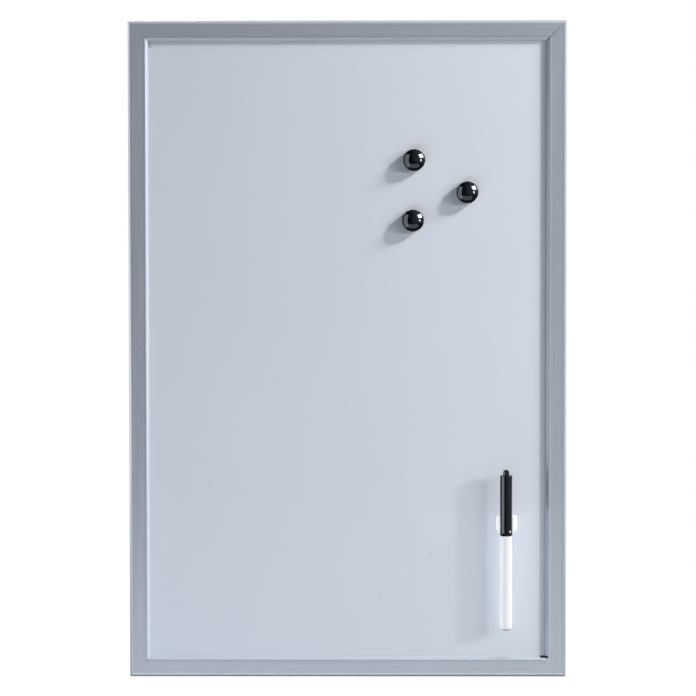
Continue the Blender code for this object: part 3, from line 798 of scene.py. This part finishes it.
# %% Turn the cap
low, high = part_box("pen_cap")
pen_axis = (low + high) / 2
mouth = low.z
CAP_LENGTH = 0.0524
CAP_WALL = 0.0009
CAP_END = 0.0015
CAP_BORE = CAP_RADIUS - CAP_WALL
CAP_ROOF = CAP_LENGTH - CAP_END
SHOULDER_ROUND = 0.0006
MOUTH_ROUND = 0.0001
BORE_ROUND = 0.00015
STUB_RADIUS = 0.0028
STUB_TOP = high.z - low.z
STUB_ROUND = 0.0003
BEAD_RADIUS = CAP_RADIUS + 0.00012
BEAD_TOP = 0.0024
BEAD_FOOT = 0.0009
BEAD_SLOPE = 0.0003
MARKS_ASIDE = 35
MARKS_TURN = math.radians(MARKS_ASIDE - 90)
BALL_AROUND = 40
DIMPLE_RADIUS = 0.0009
DIMPLE_OUT = CAP_RADIUS + 0.0001
DIMPLE_HEIGHT = 0.0043
PIP_RADIUS = 0.0010
PIP_HEIGHT = 0.0016
PIP_DEPTH = 0.35


def small_ball(radius, out, height, depth=1.0):
    """A ball on the cap's wall, flattened along its own way out of the cap."""
    ball = bmesh.new()
    bmesh.ops.create_uvsphere(ball, u_segments=BALL_AROUND, v_segments=BALL_AROUND // 2, radius=radius)
    bmesh.ops.scale(ball, verts=ball.verts[:], vec=(depth, 1, 1))
    ball.transform(Matrix.Translation((pen_axis.x, pen_axis.y, mouth + height))
                   @ Matrix.Rotation(MARKS_TURN, 4, "Z") @ Matrix.Translation((out, 0, 0)))
    return ball


bm = turned(
    [(0, STUB_TOP), (0, STUB_TOP - STUB_RADIUS, 90), (STUB_RADIUS, CAP_LENGTH), (CAP_RADIUS, CAP_LENGTH),
     (CAP_RADIUS, BEAD_TOP), (BEAD_RADIUS, BEAD_TOP - BEAD_SLOPE), (BEAD_RADIUS, BEAD_FOOT + BEAD_SLOPE),
     (CAP_RADIUS, BEAD_FOOT), (CAP_RADIUS, 0), (CAP_BORE, 0), (CAP_BORE, CAP_ROOF), (0, CAP_ROOF)],
    [(STUB_RADIUS, CAP_LENGTH, STUB_ROUND, 3), (CAP_RADIUS, CAP_LENGTH, SHOULDER_ROUND, 6),
     (CAP_RADIUS, 0, MOUTH_ROUND, 2), (CAP_BORE, 0, BORE_ROUND, 2)],
)
stand(bm, (pen_axis.x, pen_axis.y, mouth))
cap = add_piece("pen_cap", bm, "satin_black", satin_black, plug_grey)

bm = small_ball(DIMPLE_RADIUS, DIMPLE_OUT, DIMPLE_HEIGHT)
mesh = bpy.data.meshes.new("dimple")
bm.to_mesh(mesh)
bm.free()
mesh.shade_smooth()
dimple = bpy.data.objects.new("dimple", mesh)
bpy.context.scene.collection.objects.link(dimple)
hollow = cap.modifiers.new("dimple", "BOOLEAN")
hollow.operation = "DIFFERENCE"
hollow.solver = "EXACT"
hollow.object = dimple
cap.modifiers.move(1, 0)
with bpy.context.temp_override(object=cap, active_object=cap):
    bpy.ops.object.modifier_apply(modifier="dimple")
bpy.data.objects.remove(dimple)

# The pip's pale grey is a painted highlight on a real bump.
bm = small_ball(PIP_RADIUS, CAP_RADIUS, PIP_HEIGHT, PIP_DEPTH)
for face in bm.faces:
    face.smooth = True
    face.material_index = 1
bm.from_mesh(cap.data)
bm.to_mesh(cap.data)
bm.free()
print("cap:", len(cap.data.polygons), "faces, mouth at", round(mouth, 4))

# %% [markdown]
# ## The rest of the marker
#
# What draws out of the cap is five parts on one axis: the black section with its collar and cone, the
# felt nib, the white barrel, the grey plug and the reservoir inside. Every outline is read from the
# mouth of the cap, heights upwards.

# %% Turn the section, nib, barrel and plug
NIB_BORE = 0.00235
NIB_TIP = 0.0008
NIB_CONE = 0.0018
NIB_TIP_ROUND = 0.0004
NIB_CONE_ROUND = 0.0006
NOSE = 0.003
NOSE_TOP = 0.0222
NOSE_FOOT = 0.0142
NOSE_ROUND = 0.0003
SHANK = 0.00435
SHANK_ROUND = 0.0006
COLLAR = 0.00545
COLLAR_TOP = -0.0003
COLLAR_FOOT = -0.0024
COLLAR_ROUND = 0.00015
SPIGOT = 0.0042
SPIGOT_ROUND = 0.0003
BARREL = 0.0055
BARREL_BORE = 0.0045
BARREL_TOP = -0.0027
BARREL_TOP_ROUND = 0.0002
BARREL_FOOT_ROUND = 0.0008
BARREL_BORE_ROUND = 0.0001
PLUG_DOME = 0.0022
PLUG_TOP_ROUND = 0.0003
PLUG_FOOT_ROUND = 0.0019


def marker_piece(node, slot, material, moves, rounds=()):
    """Turns one part of the marker round its axis."""
    bm = stand(turned(moves, rounds), (pen_axis.x, pen_axis.y, mouth))
    piece = add_piece(node, bm, slot, material)
    print(node, len(piece.data.polygons), "faces")


low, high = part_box("pen_section")
spigot_foot = low.z - mouth
marker_piece(
    "pen_section", "satin_black", satin_black,
    [(NIB_BORE, NOSE_TOP), (NOSE, NOSE_TOP), (SHANK, NOSE_FOOT), (SHANK, COLLAR_TOP),
     (COLLAR, COLLAR_TOP), (COLLAR, COLLAR_FOOT), (SPIGOT, COLLAR_FOOT), (SPIGOT, spigot_foot),
     (NIB_BORE, spigot_foot), (NIB_BORE, NOSE_TOP)],
    [(NOSE, NOSE_TOP, NOSE_ROUND, 3), (SHANK, NOSE_FOOT, SHANK_ROUND, 3),
     (COLLAR, COLLAR_TOP, COLLAR_ROUND, 2), (COLLAR, COLLAR_FOOT, COLLAR_ROUND, 2),
     (SPIGOT, spigot_foot, SPIGOT_ROUND, 2)],
)
low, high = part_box("pen_nib")
nib_radius = (high.x - low.x) / 2
nib_top, nib_foot = high.z - mouth, low.z - mouth
marker_piece(
    "pen_nib", "felt", felt,
    [(0, nib_top), (NIB_TIP, nib_top), (nib_radius, nib_top - NIB_CONE), (nib_radius, nib_foot),
     (0, nib_foot)],
    [(NIB_TIP, nib_top, NIB_TIP_ROUND, 4), (nib_radius, nib_top - NIB_CONE, NIB_CONE_ROUND, 4)],
)
low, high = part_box("pen_barrel")
barrel_foot = low.z - mouth
marker_piece(
    "pen_barrel", "white_plastic", white_plastic,
    [(BARREL_BORE, BARREL_TOP), (BARREL, BARREL_TOP), (BARREL, barrel_foot), (BARREL_BORE, barrel_foot),
     (BARREL_BORE, BARREL_TOP)],
    [(BARREL, BARREL_TOP, BARREL_TOP_ROUND, 3), (BARREL, barrel_foot, BARREL_FOOT_ROUND, 6),
     (BARREL_BORE, barrel_foot, BARREL_BORE_ROUND, 2)],
)
low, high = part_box("pen_end_plug")
plug_radius = (high.x - low.x) / 2
plug_top, plug_foot = high.z - mouth, low.z - mouth
marker_piece(
    "pen_end_plug", "plug_grey", plug_grey,
    [(0, plug_top), (plug_radius, plug_top), (plug_radius, plug_foot + PLUG_DOME),
     (plug_radius, plug_foot), (0, plug_foot)],
    [(plug_radius, plug_top, PLUG_TOP_ROUND, 2), (plug_radius, plug_foot, PLUG_FOOT_ROUND, 8)],
)

# %% [markdown]
# ## Behind the board
#
# Four keyhole hangers are nailed flat to the top rail and the left stile, so the board hangs upright or
# on its side, and a pad at each corner holds it off the wall. The hangers are stamped from sheet, so they
# are merged copies with a slight round on the rims of their flat faces. Nails and pads are turned.

# %% Shape hangers, nails and pads
HANGER_ROUND = 0.00012
for number in range(1, 5):
    bm = merged_copy(f"hanger_{number}")
    soften(bm, rims(bm, Vector((0, 1, 0))), HANGER_ROUND)
    add_piece(f"hanger_{number}", bm, "zinc_steel", zinc_steel)

NAIL_SHANK = 0.0008
NAIL_HEAD = 0.0008
NAIL_POINT = 0.0016
NAIL_CROWN_ROUND = 0.0005
NAIL_RIM_ROUND = 0.0001
NAIL_AROUND = 40
for number in range(1, 9):
    node = f"hanger_nail_{number}"
    low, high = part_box(node)
    centre = (low + high) / 2
    head = (high.x - low.x) / 2
    length = high.y - low.y
    neck = length - NAIL_HEAD
    bm = turned([(0, length), (head, length), (head, neck), (NAIL_SHANK, neck), (NAIL_SHANK, NAIL_POINT),
                 (0, 0)],
                [(head, length, NAIL_CROWN_ROUND, 4), (head, neck, NAIL_RIM_ROUND, 2)], NAIL_AROUND)
    stand(bm, (centre.x, low.y, centre.z), TOWARDS_WALL)
    add_piece(node, bm, "zinc_steel", zinc_steel)

PAD_WALL_ROUND = 0.0006
PAD_BOARD_ROUND = 0.0002
PAD_AROUND = 64
for number in range(1, 5):
    node = f"wall_pad_{number}"
    low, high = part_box(node)
    centre = (low + high) / 2
    radius = (high.x - low.x) / 2
    height = high.y - low.y
    bm = turned([(0, height), (radius, height), (radius, 0), (0, 0)],
                [(radius, height, PAD_WALL_ROUND, 5), (radius, 0, PAD_BOARD_ROUND, 2)], PAD_AROUND)
    stand(bm, (centre.x, low.y, centre.z), TOWARDS_WALL)
    add_piece(node, bm, "pad_foam", pad_foam)
print("hangers, nails and pads are shaped")

# %% [markdown]
# ## Floor and world
#
# The background is plain white, but light from all sides would wash the shadows out. So the world is two
# things at once: a soft level for diffuse light, and white for what the camera sees. Gloss sees white
# behind the board too, and a darker studio in front of it, which is what the black magnets mirror. The
# soft level is a little cool and the hard lamps are a little warm, as the photograph's shadows are bluer
# than its lit parts. The floor is a pale disc that turns to the same white, and still keeps the board's
# shadow.

# %% Build the floor and the world
SOFT_LEVEL = 0.13
STUDIO_DARK = 0.0
STUDIO_GLOW = 0.45
# The directions between which the studio turns from dark to glow, and then to the white behind.
STUDIO_SIDEWAYS = (-0.45, 0.55)
STUDIO_BEHIND = (-0.1, 0.25)
STUDIO_SHINE = (0.8, 0.92, 1.0)
WHITE = (1, 1, 1)
COOL = (0.82, 0.90, 1.0)
WARM = (1.0, 0.945, 0.88)
FLOOR_HEIGHT = -1.15
FLOOR_RADIUS = 6.0
FLOOR_GREY = (0.45, 0.45, 0.45)
FLOOR_MIRRORED = 0.06
# How far out the floor's own glow rises, and from what to what.
GLOW_REACH = (0.3, 2.5)
GLOW_LEVELS = (0.65, 0.95)

world = bpy.data.worlds.new("studio")
bpy.context.scene.world = world
world.use_nodes = True
sky = Finish(world.node_tree)
direct = sky.node("ShaderNodeLightPath", {}, {}, "Is Camera Ray")
glossy = sky.node("ShaderNodeLightPath", {}, {}, "Is Glossy Ray")
through = sky.node("ShaderNodeLightPath", {}, {}, "Is Transmission Ray")
look = sky.node("ShaderNodeTexCoord", {}, {}, "Generated")
sideways = sky.node("ShaderNodeSeparateXYZ", {}, {0: look}, "X")
depth = sky.node("ShaderNodeSeparateXYZ", {}, {0: look}, "Y")
studio = sky.ramp(sideways, *STUDIO_SIDEWAYS, STUDIO_DARK, STUDIO_GLOW)
mirrored = studio.larger(sky.ramp(depth, *STUDIO_BEHIND))
seen = direct.larger(through)
level = SOFT_LEVEL + seen * (1 - SOFT_LEVEL) + glossy * (mirrored - SOFT_LEVEL)
tint = sky.mix(seen, sky.mix(glossy, COOL, STUDIO_SHINE), WHITE)
shine = sky.node("ShaderNodeBackground", {}, {"Color": tint, "Strength": level})
sky.node("ShaderNodeOutputWorld", {}, {"Surface": shine})

bm = bmesh.new()
bmesh.ops.create_circle(bm, cap_ends=True, segments=96, radius=FLOOR_RADIUS)
bmesh.ops.translate(bm, verts=bm.verts[:], vec=(0, 0, FLOOR_HEIGHT))
mesh = bpy.data.meshes.new("floor")
bm.to_mesh(mesh)
bm.free()
floor = bpy.data.objects.new("floor", mesh)
bpy.context.scene.collection.objects.link(floor)
pale = bpy.data.materials.new("pale_floor")
pale.use_nodes = True
ground = Finish(pale.node_tree)
seen = ground.node("ShaderNodeLightPath", {}, {}, "Is Camera Ray")
glossy = ground.node("ShaderNodeLightPath", {}, {}, "Is Glossy Ray")
glow = ground.ramp(ground.distance((0, 0, 0), (1, 1, 0)), *GLOW_REACH, *GLOW_LEVELS)
matt = ground.node("ShaderNodeBsdfPrincipled", {},
                   {"Base Color": FLOOR_GREY, "Roughness": 0.9, "Specular IOR Level": 0.0,
                    "Emission Color": WHITE, "Emission Strength": seen * glow})
mirrored = ground.node("ShaderNodeEmission", {}, {"Color": STUDIO_SHINE, "Strength": FLOOR_MIRRORED})
both = ground.node("ShaderNodeMixShader", {}, {0: glossy, 1: matt, 2: mirrored})
ground.node("ShaderNodeOutputMaterial", {}, {"Surface": both})
mesh.materials.append(pale)
print("floor at", FLOOR_HEIGHT)

# %% [markdown]
# ## Lamps
#
# The shadows tell where the lamps stood. A magnet's shadow falls down and to the left in several tones,
# so several lamps stood on the right, all low over the board: a small hard key with a broader one round
# it, a higher one, a level one and a wide one further off. From the lower left a cool low box fills the
# shadows, and one lamp behind lights the back. The first four are placed by how steeply their light
# grazes the board at the magnets, and the power of each lamp is the share of the board's own brightness
# that it gives. The front lamps are left out of reflections, which get cards of their own below.

# %% Place the lamps
MAGNETS_PLACE = Vector((0.08, sheet_front, 0.145))


def soft_box(name, place, width, height, share, tint=WHITE, aim=Vector()):
    """An area lamp that faces its aim. Share 1 would show a colour as it is written."""
    data = bpy.data.lights.new(name, "AREA")
    data.shape = "RECTANGLE"
    data.size = width
    data.size_y = height
    place = Vector(place)
    reach = place - aim
    data.energy = share * math.pi ** 2 * reach.length ** 3 / abs(reach.y) / tint[1]
    data.color = tint
    lamp = bpy.data.objects.new(name, data)
    bpy.context.scene.collection.objects.link(lamp)
    lamp.location = place
    lamp.rotation_euler = reach.to_track_quat("Z", "Y").to_euler()
    lamp.visible_camera = False
    print(name, "stands at", [round(part, 2) for part in place])
    return lamp


def grazing(right, up, forward):
    """A place forward of the magnets, and right and up of them by so many times as far."""
    return MAGNETS_PLACE + Vector((right, -1, up)) * forward


key = soft_box("key", grazing(2.5, 1.85, 0.66), 0.08, 0.08, 0.165, WARM)
broad = soft_box("broad_key", grazing(2.45, 1.8, 0.66), 0.25, 0.25, 0.06, WARM)
high = soft_box("high", grazing(3.6, 2.5, 0.58), 0.35, 0.35, 0.12, WARM)
side = soft_box("side", grazing(2.4, 0.3, 0.62), 0.12, 0.12, 0.09, WARM)
wide = soft_box("wide", (1.65, -1.1, 0.5), 0.85, 0.2, 0.135, WARM)
low_box = soft_box("low", (-0.45, -0.82, -0.8), 1.5, 0.4, 0.26, COOL)
for lamp in (key, broad, high, side, wide, low_box):
    lamp.visible_glossy = False
soft_box("rear", (-0.96, 1.8, 1.25), 1.2, 1.2, 0.5)

# %% [markdown]
# The marker stands well off the board, so the hard lamps would give it shadows that the photograph does
# not have: light linking leaves it out of what blocks them. The low box passes the two rails nearest to
# it as well, and the side and wide lamps pass only the clip. The black pieces mirror cards of their own.
# A window gives each dome its square highlight and a small card a spark below it, a tall card on the
# left and a low one give the grey lines round its foot, and another tall one the line down the marker's
# cap. The foil mirrors seven more, one for each slope that shines. A soft fill on the left keeps the
# white plastics white, and the key leaves the barrel and its plug out, or they would clip.

# %% Link the lamps and the cards
def collect(name, pieces, state):
    """A collection for light linking, all its members in one state."""
    group = bpy.data.collections.new(name)
    for piece in pieces:
        group.objects.link(piece)
    for member in group.collection_objects:
        member.light_linking.link_state = state
    return group


def shown(*nodes):
    """The finished pieces that stand for some solids."""
    return [bpy.data.objects[node + "_shown"] for node in nodes]


def card(name, direction, reach, width, height, radiance, pieces, tint):
    """A lamp seen only as a reflection, and only by some pieces."""
    place = MAGNETS_PLACE + Vector(direction).normalized() * reach
    lamp = soft_box(name, place, width, height, 1, tint, MAGNETS_PLACE)
    lamp.data.energy = radiance * math.pi * width * height
    lamp.visible_diffuse = False
    lamp.light_linking.receiver_collection = collect(name + "_mirrors", pieces, "INCLUDE")


clip_pieces = shown("pen_clip", "clip_magnet")
marker = shown("pen_cap", "pen_barrel", "pen_end_plug", "pen_section", "pen_nib") + clip_pieces
marker.append(frame["nodes"]["pen_reservoir"])
marker_clear = collect("marker_clear", marker, "EXCLUDE")
clip_clear = collect("clip_clear", clip_pieces, "EXCLUDE")
for lamp in (key, broad, high):
    lamp.light_linking.blocker_collection = marker_clear
low_clear = collect("low_clear", marker + shown("bottom_rail", "left_stile"), "EXCLUDE")
low_box.light_linking.blocker_collection = low_clear
for lamp in (side, wide):
    lamp.light_linking.blocker_collection = clip_clear
domes = shown("magnet_1_cap", "magnet_2_cap", "magnet_3_cap")
rails = shown(*RAILS)
# Name, direction from the magnets, distance, width, height, radiance, pieces that mirror it, tint.
CARDS = [
    ("window", (0.778, -0.352, 0.545), 2, 1.2, 0.86, 36, domes, STUDIO_SHINE),
    ("spark", (0.82, -0.565, 0.05), 1.5, 0.3, 0.42, 22, domes, STUDIO_SHINE),
    ("tall_card", (-0.88, -0.47, 0), 0.9, 0.58, 1.7, 3, domes, STUDIO_SHINE),
    ("low_card", (-0.05, -0.69, -0.72), 0.9, 1.6, 0.56, 1.35, domes, STUDIO_SHINE),
    ("side_card", (-0.97, -0.24, -0.3), 1.0, 1.4, 1.6, 3.9, shown("pen_cap"), STUDIO_SHINE),
    ("foil_low", (0, -0.83, -0.557), 2.15, 3.5, 1.2, 0.98, rails, (1, 0.965, 0.92)),
    ("foil_foot", (0, -0.3, -0.95), 1.0, 2.0, 0.7, 0.8, shown("top_rail"), WHITE),
    ("foil_top", (0, -0.3, 0.95), 1.2, 2.0, 0.9, 1.5, shown("bottom_rail"), WHITE),
    ("foil_crest", (0, -0.3, 0.95), 1.2, 2.0, 1.1, 0.8, shown("top_rail"), WHITE),
    ("foil_right", (0.95, -0.3, -0.1), 1.2, 0.9, 2.4, 1.35, shown("left_stile"), WHITE),
    ("foil_left", (-0.95, -0.26, 0.3), 1.5, 1.25, 2.0, 2.1, shown("left_stile"), (1, 0.97, 0.92)),
    ("foil_inner", (-0.93, -0.36, -0.4), 1.5, 0.8, 2.2, 1.3, shown("right_stile"), WHITE),
]
for settings in CARDS:
    card(*settings)
fill = soft_box("marker_fill", (-1.5, -0.52, 0.1), 0.8, 0.8, 0.235)
white_plastics = shown("pen_clip", "pen_barrel", "pen_end_plug")
fill.light_linking.receiver_collection = collect("white_plastics", white_plastics, "INCLUDE")
fill.light_linking.blocker_collection = marker_clear
softly_lit = collect("softly_lit", shown("pen_barrel", "pen_end_plug"), "EXCLUDE")
key.light_linking.receiver_collection = softly_lit
print(len(marker), "pieces clear of the hard lamps,", len(domes), "domes mirror the window")

# %% [markdown]
# ## Camera
#
# The frame's four outer corners, measured on the photograph, fix the camera: nearly square on, a little
# above the middle, and about a metre and a half away.

# %% Place the camera
DISTANCE = 1.45
AZIMUTH = math.radians(0.34)
ELEVATION = math.radians(1.409)
ROLL = math.radians(-0.051)
AIM = Vector((0.00048, -0.015, 0.00189))
LENS = 82.01
SENSOR = 36

data = bpy.data.cameras.new("camera")
data.lens = LENS
data.sensor_width = SENSOR
camera = bpy.data.objects.new("camera", data)
bpy.context.scene.collection.objects.link(camera)
back = Vector((math.sin(AZIMUTH) * math.cos(ELEVATION), -math.cos(AZIMUTH) * math.cos(ELEVATION),
               math.sin(ELEVATION)))
right = Vector((0, 0, 1)).cross(back).normalized()
up = back.cross(right)
right, up = (right * math.cos(ROLL) + up * math.sin(ROLL), up * math.cos(ROLL) - right * math.sin(ROLL))
camera.matrix_world = (Matrix.Translation(AIM + back * DISTANCE)
                       @ Matrix((right, up, back)).transposed().to_4x4())
bpy.context.scene.camera = camera
bpy.context.scene.view_settings.view_transform = "Standard"
print("camera at", [round(part, 3) for part in camera.location])
